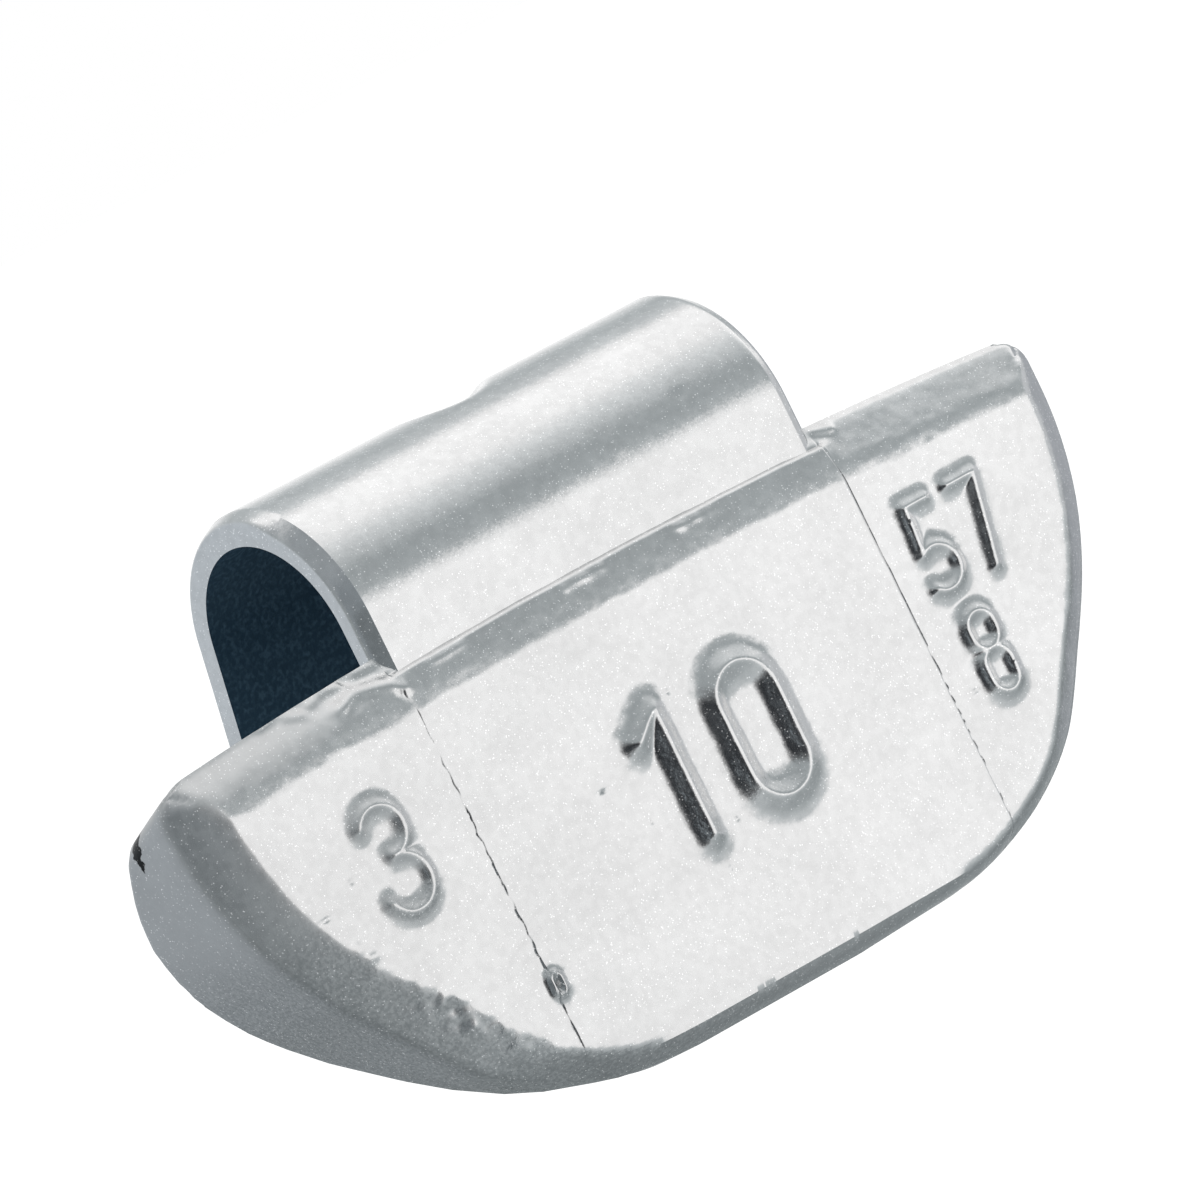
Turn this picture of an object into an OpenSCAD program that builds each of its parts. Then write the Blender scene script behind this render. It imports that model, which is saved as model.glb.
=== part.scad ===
// Clip-on wheel balance weight: a zinc body cast round the foot of a spring steel clip.
// The clip's arch hooks over the edge of a wheel rim. The origin is on the arch's axis, +X runs along
// the rim, -Y is the front of the weight and +Z points out from the wheel's centre.

/* [Clip] */
// Thickness of the spring steel strip
strip_t = 0.8; // [0.6:0.05:1]
// Width of the strip, measured along the rim
strip_w = 16; // [12:0.1:20]
// Radius of the rolled edge on the strip's outer side
edge_r = 0.3; // [0.1:0.05:0.4]
// Inner radius of the arch
arch_r = 3.25; // [2.8:0.05:4]
// Lean of the rear leg away from the body, in degrees
lean_deg = 17; // [8:1:22]
// Length of the rear leg's straight part
leg_len = 3.8; // [2.5:0.1:5]
// Inner radius of the bend that turns the rear leg back in
grip_r = 3; // [2:0.1:5]
// Turn of that bend, in degrees
grip_deg = 34; // [24:1:40]
// Inner radius of the lip that leads the clip over the rim
lip_r = 1.2; // [0.8:0.1:2]
// Turn of the lip, in degrees
lip_deg = 40; // [20:1:60]
// Radius of the corners at the lip's end
corner_r = 1.5; // [0.5:0.1:3]
// Length of the flat end of the lip
lip_len = 1.6; // [1:0.1:3]

/* [Removal slot] */
// Width of the slot in the arch that the removal tool hooks
slot_w = 3.2; // [2:0.1:5]
// Length of the slot
slot_len = 4.9; // [3.5:0.1:5.2]
// Place of the slot to the right of the middle
slot_x = 0.4; // [-3:0.1:3]
// Angle of the slot's middle over the rear, in degrees
slot_deg = 72; // [68:1:80]

/* [Cast-in foot] */
// Depth of the foot's end below the top of the front face
foot_depth = 5.6; // [4:0.1:7]
// Diameter of the two holes that the zinc runs through
key_d = 2.4; // [1.5:0.1:3]
// Distance between the two holes
key_pitch = 8; // [5:0.5:12]
// Metal between a hole and the foot's end
key_land = 1; // [0.6:0.1:1.5]

/* [Body] */
// Length of the body along the rim, at the back
body_len = 31.75; // [28:0.25:40]
// Height of the body below the top of its front face
body_drop = 11.6; // [10.5:0.1:14]
// Height of the arch's axis above the top of the front face
axis_h = 2.7; // [2.4:0.1:3.5]
// Zinc in front of the clip's foot
cover_t = 0.45; // [0.25:0.05:0.8]
// Height of the ridge above the front face
ridge_h = 1.78; // [1.4:0.02:2]
// Depth of the ridge behind the front face
ridge_d = 0.85; // [0.6:0.05:1.2]
// Greatest thickness of the body
back_d = 5.45; // [4.5:0.05:6]
// Top of the two bearing faces at the back, below the top of the front face
seat_top = 3.5; // [3:0.1:4]
// Bottom of the two bearing faces, below the top of the front face
seat_low = 4.7; // [4.2:0.1:5.5]
// Depth of the hollow between the bearing faces
hollow_d = 2.2; // [1.5:0.1:3]
// Width of the hollow
hollow_w = 25; // [20:0.5:26]
// Width of the bevel at the ends of the front face
bevel_w = 1.45; // [0.8:0.05:2]
// Width of the bevel along the lower edge
bevel_h = 0.5; // [0.3:0.05:1]
// Radius of the body's ends
end_r = 9.5; // [8:0.5:11]
// Radius of the lower corners
low_r = 8; // [5:0.5:9]
// Turn from the upright end to the straight flank, in degrees
flank_deg = 41; // [36:1:44]
// Draft that widens each end towards the back
draft_w = 0.15; // [0:0.05:0.4]

/* [Front panel] */
// Half the width of the middle panel between its two seams
panel_half = 8; // [6:0.1:10]
// Height of the middle panel over the two outer ones
panel_step = 0.08; // [0.04:0.01:0.15]

/* [Rim] */
// Radius of the rim's edge, which the ridge follows
rim_r = 175; // [150:5:250]

/* [Hidden] */
$fn = 64;
// Overrun of every cut
over = 1;
// Thickness of the slices that the body is drawn over
slice_t = 0.02;
arch_out = arch_r + strip_t;
// Front face of the body, in front of the foot's outer side
front_y = -arch_out - cover_t;
front_leg = axis_h + foot_depth;
face_z = -axis_h;
// Slices from the front face to the ridge: shares of ridge_d, of the bevels and of ridge_h
front_shares = [[0, 1, 0], [0.07, 0.87, 0.101], [0.53, 0.5, 0.607], [0.765, 0.32, 0.815], [0.918, 0.21, 0.938], [1, 0.155, 1]];
// Slices from the ridge to the bearing faces: shares of the way back, of the bevels, of the way down
// from the ridge and of the way up from the lower edge
back_shares = [
    [0.033, 0.06, 0.0076, 0],
    [0.087, 0, 0.0218, 0.039],
    [0.272, 0, 0.0767, 0.174],
    [0.554, 0, 0.1635, 0.383],
    [0.609, 0, 0.2008, 0.423],
    [0.75, 0, 0.3693, 0.53],
    [0.815, 0, 0.46, 0.581],
    [0.902, 0, 0.606, 0.703],
    [0.957, 0, 0.79, 0.826],
    [1, 0, 1, 1]
];
// Steps of each arc of the outline, of the strip's arch, its two other bends and its rolled corners
steps = 8;
arch_steps = 28;
bend_steps = 8;
roll_steps = 4;
// Height below which the ends begin to turn in, as a share of the body's height
upright_share = 0.025;
upright = upright_share * body_drop;

// Section of the strip: height over its inner side against place along the rim. The outer corners are rolled
function corner(turn, side) = [
    strip_t - edge_r * (1 - cos(turn)),
    side * (strip_w / 2 - edge_r * (1 - sin(turn)))
];
section = concat(
    [[0, -strip_w / 2], [0, strip_w / 2]],
    [for (i = [0:roll_steps]) corner(90 * (1 - i / roll_steps), 1)],
    [for (i = [0:roll_steps]) corner(90 * i / roll_steps, -1)]
);

// Direction at an angle in the plane across the rim, from the rear (0) over the top (90) to the front (180)
function toward(a) = [cos(a), sin(a)];
function along(a) = [sin(a), -cos(a)];

// Places where the strip is drawn: [point on its inner side, angle that its outer side faces]
arch_places = [for (i = [0:arch_steps]) let (a = 180 - (180 - lean_deg) * i / arch_steps) [arch_r * toward(a), a]];
leg_end = arch_r * toward(lean_deg) + leg_len * along(lean_deg);
grip_centre = leg_end - grip_r * toward(lean_deg);
grip_places = [
    for (i = [0:bend_steps])
        let (a = lean_deg - grip_deg * i / bend_steps)
        [grip_centre + grip_r * toward(a), a]
];
lip_start_deg = lean_deg - grip_deg;
lip_out = lip_r + strip_t;
lip_centre = grip_centre + (grip_r + lip_out) * toward(lip_start_deg);
lip_places = [
    for (i = [1:bend_steps])
        let (a = lip_start_deg + lip_deg * i / bend_steps)
        [lip_centre - lip_out * toward(a), a]
];
lip_end_deg = lip_start_deg + lip_deg;
lip_end = lip_centre - lip_out * toward(lip_end_deg) + lip_len * along(lip_end_deg);
foot_end = [-arch_r, -front_leg];
strip_places = concat([[foot_end, 180]], arch_places, grip_places, lip_places, [[lip_end, lip_end_deg]]);

// One solid through all places: the section's points at each, joined into sides and closed at both ends
module sweep(places) {
    count = len(section);
    last = len(places) - 1;
    points = [
        for (place = places)
            for (spot = section)
                let (across = place[0] + spot[0] * toward(place[1]))
                [spot[1], across[0], across[1]]
    ];
    sides = [
        for (i = [0:last - 1])
            for (j = [0:count - 1])
                let (k = (j + 1) % count)
                [i * count + j, i * count + k, (i + 1) * count + k, (i + 1) * count + j]
    ];
    polyhedron(
        points = points,
        faces = concat(
            sides,
            [[for (j = [count - 1:-1:0]) j]],
            [[for (j = [0:count - 1]) last * count + j]]
        )
    );
}

// Oblong slot over the rear of the arch
module removal_slot() {
    straight_len = slot_len - slot_w;
    translate([slot_x, 0, 0])
        rotate([slot_deg - 90, 0, 0])
            linear_extrude(arch_out + over) {
                square([slot_w, straight_len], center = true);
                for (side = [-1, 1])
                    translate([0, side * straight_len / 2]) circle(d = slot_w);
            }
}

// What the rounded corners of the lip leave over
module lip_corners() {
    for (side = [-1, 1])
        translate([side * (strip_w / 2 - corner_r), lip_end[0], lip_end[1]])
            rotate([lip_end_deg, 0, 0])
                translate([0, -over, corner_r])
                    rotate([-90, 0, 0])
                        linear_extrude(strip_t + 2 * over) difference() {
                            translate([side > 0 ? 0 : -corner_r - over, 0]) square(corner_r + over);
                            circle(corner_r);
                        }
}

// Two holes in the cast-in foot
module key_holes() {
    for (side = [-1, 1])
        translate([side * key_pitch / 2, over - arch_r, key_land + key_d / 2 - front_leg])
            rotate([90, 0, 0]) cylinder(d = key_d, h = strip_t + 2 * over);
}

module clip() {
    color("silver") difference() {
        sweep(strip_places);
        removal_slot();
        lip_corners();
        key_holes();
    }
}

// Room in the body for the clip's foot, with the zinc that fills its holes left standing
module foot_room() {
    difference() {
        sweep([[foot_end, 180], [[-arch_r, 0], 180]]);
        key_holes();
    }
}

// Right half of the body's outline, from the top of the end down to the middle of the lower edge
function end_arc(half_len) = [
    for (i = [0:steps])
        let (a = flank_deg * i / steps)
        [half_len - end_r + end_r * cos(a), -upright - end_r * sin(a)]
];
function flank_drop() = body_drop - upright - end_r * sin(flank_deg) - low_r * (1 - sin(flank_deg));
function low_arc(half_len) =
    let (
        start_x = half_len - end_r * (1 - cos(flank_deg)) - flank_drop() * tan(flank_deg),
        mid_x = start_x - low_r * cos(flank_deg)
    ) [
        for (i = [0:steps])
            let (a = flank_deg + (90 - flank_deg) * i / steps)
            [mid_x + low_r * cos(a), low_r - body_drop - low_r * sin(a)]
    ];
function half_outline(half_len) = concat([[half_len, ridge_h]], end_arc(half_len), low_arc(half_len));
function mirrored(points) = [for (i = [len(points) - 1:-1:0]) [-points[i][0], points[i][1]]];

// Outline of the body at one depth: drawn in by a share of the bevels, with its top on a circle about
// the wheel's centre and its bottom where the back has reached
module outline(depth, inset_share, top, bottom) {
    half_len = (body_len / 2) - draft_w * (1 - depth / back_d);
    width_share = 1 - inset_share * bevel_w / half_len;
    height_share = 1 - inset_share * bevel_h / body_drop;
    points = half_outline(half_len);
    intersection() {
        scale([width_share, height_share]) polygon(concat(points, mirrored(points)));
        translate([0, -rim_r]) circle(rim_r + top, $fn = 360);
        translate([-body_len, bottom]) square([2 * body_len, body_drop + ridge_h]);
    }
}

module slice(depth, inset_share, top, bottom, thickness) {
    translate([0, front_y + depth + thickness, face_z])
        rotate([90, 0, 0])
            linear_extrude(thickness) outline(depth, inset_share, top, bottom);
}

module casting() {
    hull() {
        for (share = front_shares)
            slice(share[0] * ridge_d, share[1], share[2] * ridge_h, -body_drop, slice_t);
        for (share = back_shares)
            slice(
                ridge_d + share[0] * (back_d - ridge_d) - slice_t,
                share[1],
                ridge_h - share[2] * (ridge_h + seat_top),
                share[3] * (body_drop - seat_low) - body_drop,
                slice_t
            );
    }
}

// Hollow in the back, an arc about an upright axis, which leaves the two ends to bear on the rim
module back_hollow() {
    hollow_r = (hollow_w * hollow_w / 4 + hollow_d * hollow_d) / (2 * hollow_d);
    translate([0, front_y + back_d - hollow_d + hollow_r, face_z - body_drop - over])
        cylinder(r = hollow_r, h = body_drop + ridge_h + 2 * over, $fn = 180);
}

// Middle of the front face, a mould insert that leaves it slightly proud between its two seams
module panel() {
    intersection() {
        translate([0, -panel_step, 0]) slice(0, 1, 0, -body_drop, panel_step + slice_t);
        translate([-panel_half, front_y - over, face_z - body_drop])
            cube([2 * panel_half, ridge_d + over, body_drop + ridge_h]);
    }
}

module body() {
    color("gainsboro") difference() {
        union() {
            casting();
            panel();
        }
        foot_room();
        back_hollow();
    }
}

clip();
body();
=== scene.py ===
import math

import bmesh
import bpy
import numpy as np
from mathutils import Matrix, Vector, noise


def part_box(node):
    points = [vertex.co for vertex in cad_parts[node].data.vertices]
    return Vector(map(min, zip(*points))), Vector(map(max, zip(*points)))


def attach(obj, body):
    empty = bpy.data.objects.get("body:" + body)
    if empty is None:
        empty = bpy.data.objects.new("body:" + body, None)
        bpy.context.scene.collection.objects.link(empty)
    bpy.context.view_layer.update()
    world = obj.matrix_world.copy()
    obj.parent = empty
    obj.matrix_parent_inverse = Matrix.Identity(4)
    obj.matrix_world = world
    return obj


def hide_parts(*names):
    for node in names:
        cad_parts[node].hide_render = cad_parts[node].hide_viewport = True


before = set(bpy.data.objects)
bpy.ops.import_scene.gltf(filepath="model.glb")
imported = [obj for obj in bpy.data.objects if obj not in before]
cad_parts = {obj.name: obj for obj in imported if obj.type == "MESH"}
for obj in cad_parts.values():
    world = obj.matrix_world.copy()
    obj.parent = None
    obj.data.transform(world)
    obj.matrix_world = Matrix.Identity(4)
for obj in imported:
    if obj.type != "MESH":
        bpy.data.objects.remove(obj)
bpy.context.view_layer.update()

MM = 0.001
clip_low, clip_high = [np.array(corner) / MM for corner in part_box("clip")]
body_low, body_high = [np.array(corner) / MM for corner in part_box("body")]

# Sizes in millimetres. In the frame, the clip's arch has its axis on X, and -Y is the front
STRIP_T = 0.92
STRIP_HALF = clip_high[0]
ARCH_R = clip_high[2] + 0.02 - STRIP_T
LEAN_DEG = 17
LEG_LEN = 3.8
GRIP_R = 3
GRIP_DEG = 34
LIP_R = 1.2
LIP_DEG = 40
LIP_LEN = 1.6
LIP_CORNER = 1.5
EDGE_ROLL_W = 0.42
EDGE_ROLL = 0.4
EDGE_ROUND = 0.12
FOOT_LEN = 8.3
# The removal slot: its middle is given along X and round the arch, and its edge is rolled
SLOT_W = 3
SLOT_LEN = 3.9
SLOT_X = 0.2
SLOT_DEG = 63.5
SLOT_ROLL = 0.6
# The clip sits a little off the middle, and a little high
CLIP_X = -0.13
CLIP_Z = 0.05

# The body: x is measured from its middle, z from the top edge of its front face, and depth backwards
# from that face
FACE_Z = -2.7
FACE_Y = -4.5
BODY_HALF = 15.875
BODY_DROP = 11.6
RIDGE_H = 1.89
RIDGE_D = 0.85
BACK_D = body_high[1] - FACE_Y
SEAT_TOP = 3.5
SEAT_LOW = 4.7
HOLLOW_D = 2.2
HOLLOW_W = 25
BEVEL_W = 1.45
BEVEL_H = 0.5
END_R = 9.5
LOW_R = 8
FLANK = math.radians(41)
UPRIGHT = 0.29
DRAFT = 0.15
RIM_R = 175
PANEL_STEP = 0.03
# The casting is a little longer at both ends, fuller at its right flank, and its front's lower edge
# hangs lower in the middle and higher at the left
RIGHT_EXTRA = 0.33
LEFT_EXTRA = 0.44
FLANK_EXTRA = 0.45
LOW_SAG = 0.18
LEFT_LIFT = 0.3
STRETCH_FROM = 8
STRETCH_OVER = 5
FLANK_MIDDLE = -9.2
FLANK_REACH = 2.2
LIFT_MIDDLE = -9.3
LIFT_REACH = 2.5
# Rounded upper corners of the ends
CORNER_R = 0.8

# Front bevels: share of the ridge's depth and of the bevels' width
FRONT_SHARES = [(0, 0.94), (0.5, 0.5), (0.74, 0.32), (0.91, 0.21), (1, 0.155)]
# Ends and back: share of the way back from the ridge, of the bevels, of the way down and of the way up
BACK_SHARES = [
    (0, 0.155, 0, 0),
    (0.033, 0.06, 0.0076, 0),
    (0.087, 0, 0.0218, 0.039),
    (0.272, 0, 0.0767, 0.174),
    (0.554, 0, 0.1635, 0.383),
    (0.609, 0, 0.2008, 0.423),
    (0.75, 0, 0.3693, 0.53),
    (0.815, 0, 0.46, 0.581),
    (0.902, 0, 0.606, 0.703),
    (0.957, 0, 0.79, 0.826),
    (1, 0, 1, 1),
]
STEPS_BETWEEN = 2

# Bands of columns and rows of the front sheet: where each ends, and the spacing in it
COLUMN_BANDS = [(-12.3, 0.16), (-9.2, 0.07), (-8.3, 0.12), (-7.65, 0.026), (-3, 0.16), (3.5, 0.06),
                (7.4, 0.16), (8.25, 0.035), (8.7, 0.12), (12.3, 0.06), (15.8, 0.16)]
ROW_BANDS = [(-8.9, 0.14), (-7.6, 0.07), (-1, 0.06), (-0.3, 0.12), (RIDGE_H, 0.065)]

# Camera, fitted to the photograph: its place and axes in millimetres of the frame
CAMERA_AT = (-212.973, -318.582, 17.197)
CAMERA_RIGHT = (0.730315, -0.520304, -0.442632)
CAMERA_UP = (0.393424, -0.209345, 0.895205)
CAMERA_FORWARD = (0.558442, 0.827924, -0.051813)
CAMERA_LENS = 420.1
SENSOR_WIDTH = 36.0


def add_camera():
    """The photograph's own view."""
    camera = bpy.data.cameras.new("camera")
    camera.lens = CAMERA_LENS
    camera.sensor_width = SENSOR_WIDTH
    camera.clip_start = 0.01
    camera.clip_end = 20
    holder = bpy.data.objects.new("camera", camera)
    bpy.context.collection.objects.link(holder)
    right, up, forward = Vector(CAMERA_RIGHT), Vector(CAMERA_UP), Vector(CAMERA_FORWARD)
    turn = Matrix((right, up, -forward)).transposed().to_4x4()
    holder.matrix_world = Matrix.Translation(Vector(CAMERA_AT) * MM) @ turn
    bpy.context.scene.camera = holder


# Studio: brightness round the part at each angle in the plane across the rim, from straight ahead (0)
# over the top (90) to straight behind (180)
SKY = [
    (-180, 0.95), (-150, 0.3), (-120, 0.24), (-80, 0.34), (-55, 0.42), (-25, 0.6), (-13, 1.02), (3, 1.1),
    (8, 0.96), (16, 0.46), (27, 0.38), (37, 0.39), (57, 0.74), (74, 1.06), (100, 1.16), (108, 1.02),
    (117, 0.64), (134, 0.49), (142, 0.51), (164, 0.93), (180, 1.1),
]
# Patches over it: each a direction, the angles at which it starts and ends to fade, and its colour
PATCHES = [
    ((0.93, 0.36, -0.02), 8, 26, (0.40, 0.42, 0.45)),
    ((0.99, -0.10, -0.02), 6, 18, (0.60, 0.62, 0.64)),
    ((-1.00, -0.15, -0.05), 30, 62, (0.30, 0.33, 0.34)),
    ((-0.75, -0.30, 0.60), 22, 48, (0.33, 0.36, 0.38)),
    ((-0.35, -0.94, -0.05), 8, 31, (0.02, 0.022, 0.026)),
    ((-0.82, -0.57, -0.12), 25, 36, (0.25, 0.28, 0.30)),
    ((-0.82, -0.57, -0.25), 4, 22, (0.16, 0.18, 0.19)),
    ((-0.50, 0.86, -0.05), 20, 50, (0.54, 0.585, 0.625)),
]


def light_studio():
    """A world with soft patches, seen white by the camera itself."""
    world = bpy.data.worlds.new("studio")
    bpy.context.scene.world = world
    world.use_nodes = True
    nodes, links = world.node_tree.nodes, world.node_tree.links
    nodes.clear()
    place = nodes.new("ShaderNodeTexCoord")
    split = nodes.new("ShaderNodeSeparateXYZ")
    links.new(place.outputs["Generated"], split.inputs[0])
    ahead = nodes.new("ShaderNodeMath")
    ahead.operation = "MULTIPLY"
    ahead.inputs[1].default_value = -1
    links.new(split.outputs["Y"], ahead.inputs[0])
    angle = nodes.new("ShaderNodeMath")
    angle.operation = "ARCTAN2"
    links.new(split.outputs["Z"], angle.inputs[0])
    links.new(ahead.outputs[0], angle.inputs[1])
    turn = nodes.new("ShaderNodeMapRange")
    turn.inputs["From Min"].default_value = -math.pi
    turn.inputs["From Max"].default_value = math.pi
    links.new(angle.outputs[0], turn.inputs["Value"])
    ramp = nodes.new("ShaderNodeValToRGB")
    stops = ramp.color_ramp.elements
    while len(stops) < len(SKY):
        stops.new(0.5)
    for stop, (degrees, shade) in zip(stops, SKY):
        stop.position = (degrees + 180) / 360
        cool = max(0, 1 - shade)
        stop.color = (shade, shade * (1 + 0.14 * cool), shade * (1 + 0.19 * cool), 1)
    links.new(turn.outputs["Result"], ramp.inputs["Fac"])
    last = ramp.outputs["Color"]
    for direction, start, end, shade in PATCHES:
        dot = nodes.new("ShaderNodeVectorMath")
        dot.operation = "DOT_PRODUCT"
        links.new(place.outputs["Generated"], dot.inputs[0])
        dot.inputs[1].default_value = Vector(direction).normalized()
        mask = nodes.new("ShaderNodeMapRange")
        mask.interpolation_type = "SMOOTHSTEP"
        mask.inputs["From Min"].default_value = math.cos(math.radians(end))
        mask.inputs["From Max"].default_value = math.cos(math.radians(start))
        links.new(dot.outputs["Value"], mask.inputs["Value"])
        mix = nodes.new("ShaderNodeMix")
        mix.data_type = "RGBA"
        links.new(mask.outputs["Result"], mix.inputs["Factor"])
        links.new(last, mix.inputs["A"])
        mix.inputs["B"].default_value = (*shade, 1)
        last = mix.outputs["Result"]
    lit = nodes.new("ShaderNodeBackground")
    links.new(last, lit.inputs["Color"])
    white = nodes.new("ShaderNodeBackground")
    white.inputs["Color"].default_value = (1, 1, 1, 1)
    path = nodes.new("ShaderNodeLightPath")
    both = nodes.new("ShaderNodeMixShader")
    links.new(path.outputs["Is Camera Ray"], both.inputs["Fac"])
    links.new(lit.outputs[0], both.inputs[1])
    links.new(white.outputs[0], both.inputs[2])
    out = nodes.new("ShaderNodeOutputWorld")
    links.new(both.outputs[0], out.inputs["Surface"])
    bpy.context.scene.view_settings.view_transform = "Standard"


# Body outline

def arc(middle_x, middle_z, radius, start_deg, end_deg, count):
    """Points of an arc in the plane of the face."""
    turns = np.radians(np.linspace(start_deg, end_deg, count + 1))
    return [(middle_x + radius * math.cos(turn), middle_z + radius * math.sin(turn)) for turn in turns]


def half_outline(half_len, count):
    """Right half of the body's outline, from the top of the end down to the flat lower edge."""
    flank_deg = math.degrees(FLANK)
    end = arc(half_len - END_R, -UPRIGHT, END_R, 0, -flank_deg, count)
    flank_drop = BODY_DROP - UPRIGHT - END_R * math.sin(FLANK) - LOW_R * (1 - math.sin(FLANK))
    start_x = half_len - END_R * (1 - math.cos(FLANK)) - flank_drop * math.tan(FLANK)
    low = arc(start_x - LOW_R * math.cos(FLANK), LOW_R - BODY_DROP, LOW_R, -flank_deg, -90, count)
    return np.array([(half_len, RIDGE_H)] + end + low)


def half_width(height, inset, half_len):
    """Half the body's width at a height, drawn in by a share of the bevels."""
    points = half_outline(half_len, 24)
    widths = points[::-1, 0] * (1 - inset * BEVEL_W / half_len)
    heights = points[::-1, 1] * (1 - inset * BEVEL_H / BODY_DROP)
    return np.interp(height, heights, widths)


def rim_dip(x, radius=RIM_R):
    """How far a circle about the wheel's centre has dropped at x."""
    return radius - np.sqrt(radius * radius - x * x)


def ring_place(start, depth, inset, top, bottom):
    """Places of a ring's points, from where the same points started on the edge of the front sheet."""
    half_len = BODY_HALF - DRAFT * (1 - depth / BACK_D)
    base_len = BODY_HALF - DRAFT * (1 - RIDGE_D / BACK_D)
    base_inset = FRONT_SHARES[-1][1]
    base_low = -BODY_DROP + base_inset * BEVEL_H
    base_top_half = half_width(0, base_inset, base_len)
    base_top = RIDGE_H - rim_dip(base_top_half)
    low = max(bottom, -BODY_DROP + inset * BEVEL_H)
    top_half = half_width(min(top, 0), inset, half_len)
    for _ in range(3):
        top_half = half_width(top - rim_dip(top_half), inset, half_len)
    high = top - rim_dip(top_half)
    x, z = start[:, 0], start[:, 1]
    on_low = z < base_low + 1e-4
    on_top = z > RIDGE_H - rim_dip(x) - 1e-4
    share = np.clip((z - base_low) / (base_top - base_low), 0, 1)
    side_z = low + share * (high - low)
    side_x = np.sign(x) * half_width(side_z, inset, half_len)
    low_x = x / half_width(base_low + 1e-6, base_inset, base_len) * half_width(low, inset, half_len)
    top_x = x / base_top_half * top_half
    new_x = np.where(on_low, low_x, np.where(on_top, top_x, side_x))
    new_z = np.where(on_low, low, np.where(on_top, top - rim_dip(top_x), side_z))
    new_x, new_z = round_corners(new_x, new_z, top_half, high)
    return stretch(new_x, new_z), new_z - sag(new_x, new_z) * max(0, 1 - (depth - RIDGE_D))


def round_corners(x, z, half, high):
    """Rounds the two upper corners of an outline, and what lies inside them with it."""
    across = CORNER_R - np.maximum(half - np.abs(x), 0)
    up = CORNER_R - np.maximum(high - z, 0)
    inside = (across > 0) & (up > 0)
    length = np.hypot(across, up) + 1e-9
    share = np.where(inside, np.maximum(across, up) / length, 1)
    new_x = np.where(inside, np.sign(x) * (half - CORNER_R + across * share), x)
    new_z = np.where(inside, high - CORNER_R + up * share, z)
    return new_x, new_z


def stretch(x, z):
    """Draws both ends and the right flank out to their own lengths."""
    right = RIGHT_EXTRA * np.clip((x - STRETCH_FROM) / STRETCH_OVER, 0, 1)
    flank = FLANK_EXTRA * np.exp(-((z - FLANK_MIDDLE) / FLANK_REACH) ** 2) * np.clip((x - 5) / 4, 0, 1)
    left = LEFT_EXTRA * np.clip((-x - STRETCH_FROM) / STRETCH_OVER, 0, 1) * np.clip((z + 5.2) / 5.7, 0, 1)
    return x + right + flank - left


def sag(x, z):
    """How much lower the front's lower edge hangs, less than zero where it is lifted."""
    low = np.clip((-z - 11) / 0.5, 0, 1) * LOW_SAG * np.clip((7 - np.abs(x + 1)) / 4, 0, 1)
    lift = np.clip((-z - 9.5) / 1.5, 0, 1) * LEFT_LIFT * np.exp(-((x - LIFT_MIDDLE) / LIFT_REACH) ** 2)
    return low - lift


# Raised numbers: each stroke is a chain of points along its crest

def stroke_distance(x, z, chain):
    """Distance of each point to a chain of straight pieces."""
    best = np.full(x.shape, 1e9)
    for (ax, az), (bx, bz) in zip(chain[:-1], chain[1:]):
        run_x, run_z = bx - ax, bz - az
        share = np.clip(((x - ax) * run_x + (z - az) * run_z) / (run_x * run_x + run_z * run_z), 0, 1)
        best = np.minimum(best, np.hypot(x - ax - share * run_x, z - az - share * run_z))
    return best


def oblong(middle_x, top_z, low_z, radius):
    """Closed upright loop with round ends."""
    loop = arc(middle_x, top_z, radius, 180, 0, 24) + arc(middle_x, low_z, radius, 0, -180, 24)
    return loop + loop[:1]


LARGE_STROKE = (0.62, 0.3)
SMALL_STROKE = (0.33, 0.19)
MARKS = [
    (LARGE_STROKE, [(-2.15, -3.68), (-1.6, -3.24), (-1.275, -3.05), (-1.275, -6.82)]),
    (LARGE_STROKE, oblong(1.69, -3.945, -5.855, 1.02)),
    (SMALL_STROKE, arc(-10.75, -2.44, 0.72, 155, -90, 16)),
    (SMALL_STROKE, arc(-10.75, -3.96, 0.8, 90, -155, 16)),
    (SMALL_STROKE, [(10.0, -1.5), (9.22, -1.5), (9.13, -2.72)]),
    (SMALL_STROKE, arc(9.47, -3.42, 0.65, 125, -130, 16)),
    (SMALL_STROKE, [(10.86, -1.5), (11.82, -1.5), (11.2, -4.08)]),
    (SMALL_STROKE, oblong(9.8, -5.38, -5.56, 0.46)),
    (SMALL_STROKE, oblong(9.8, -6.49, -6.84, 0.47)),
]
CREST_R = 0.04
# Power that hollows the flanks: 1 is flat
HOLLOW_FLANK = 1.15
FOOT_FILLET = 0.12

# Small faults of the casting: place on the face, half-sizes, and height (a pit where it is below zero)
FAULTS = [
    ((-0.45, -2.83), (0.05, 0.04), -0.05),
    ((-13.5, -3.82), (0.07, 0.05), -0.06),
    ((-1.15, -7.85), (0.05, 0.04), -0.04),
    ((-0.25, -6.78), (0.05, 0.04), 0.05),
    ((3.58, -2.55), (0.02, 0.12), -0.04),
    ((-2.0, -0.62), (0.3, 0.03), -0.025),
    ((-2.05, -0.8), (0.22, 0.025), -0.025),
    ((5.2, -8.85), (0.1, 0.13), 0.03),
    ((5.65, -8.8), (0.06, 0.1), 0.03),
    ((-3.8, -4.36), (0.05, 0.04), -0.05),
    ((-7.55, -3.05), (0.06, 0.05), 0.04),
    ((-2.8, -5.72), (0.04, 0.04), -0.04),
    ((-12.3, -3.25), (0.05, 0.04), -0.05),
    ((8.75, -6.87), (0.04, 0.04), -0.05),
    ((-12.95, -4.95), (0.12, 0.22), 0.05),
    ((-12.72, -5.3), (0.16, 0.14), 0.06),
    ((-10.75, -8.3), (0.2, 0.13), 0.04),
    ((-7.86, -8.31), (0.07, 0.17), -0.12),
]
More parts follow.
